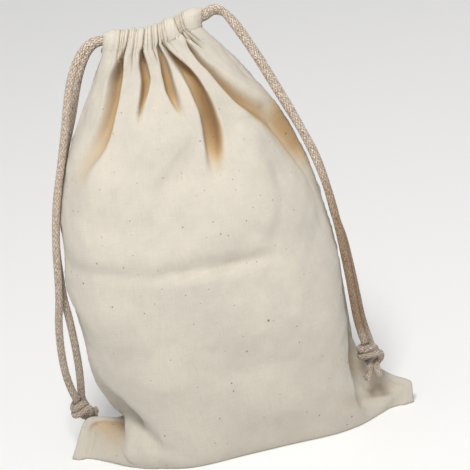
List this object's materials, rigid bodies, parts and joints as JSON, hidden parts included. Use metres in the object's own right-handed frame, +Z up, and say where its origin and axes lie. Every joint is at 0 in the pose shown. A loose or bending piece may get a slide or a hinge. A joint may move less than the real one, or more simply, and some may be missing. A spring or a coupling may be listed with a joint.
{
  "type": "cotton drawstring storage bag",
  "caption": "Upright cloth bag of plain cotton, gathered shut at a stitched casing by braided cotton drawcords that hang knotted at each side.",
  "frame": {"origin": "on the surface the bag stands on, under the middle of the two panels' box", "axes": "+Z up, the front panel faces -Y, +X to the right as the front is seen"},
  "size_m": [0.3007, 0.1452, 0.3805],
  "materials": {
    "cotton_cloth": "matt unbleached plain weave",
    "cotton_cord": "matt braided cotton"
  },
  "bodies": {
    "root": {"panel_front": "cotton_cloth", "panel_back": "cotton_cloth", "cord_left_run": "cotton_cord", "cord_right_run": "cotton_cord", "cord_left_a": "cotton_cord", "cord_left_b": "cotton_cord", "cord_right_a": "cotton_cord", "cord_right_b": "cotton_cord", "knot_left": "cotton_cord", "knot_right": "cotton_cord"}
  },
  "joints": []
}
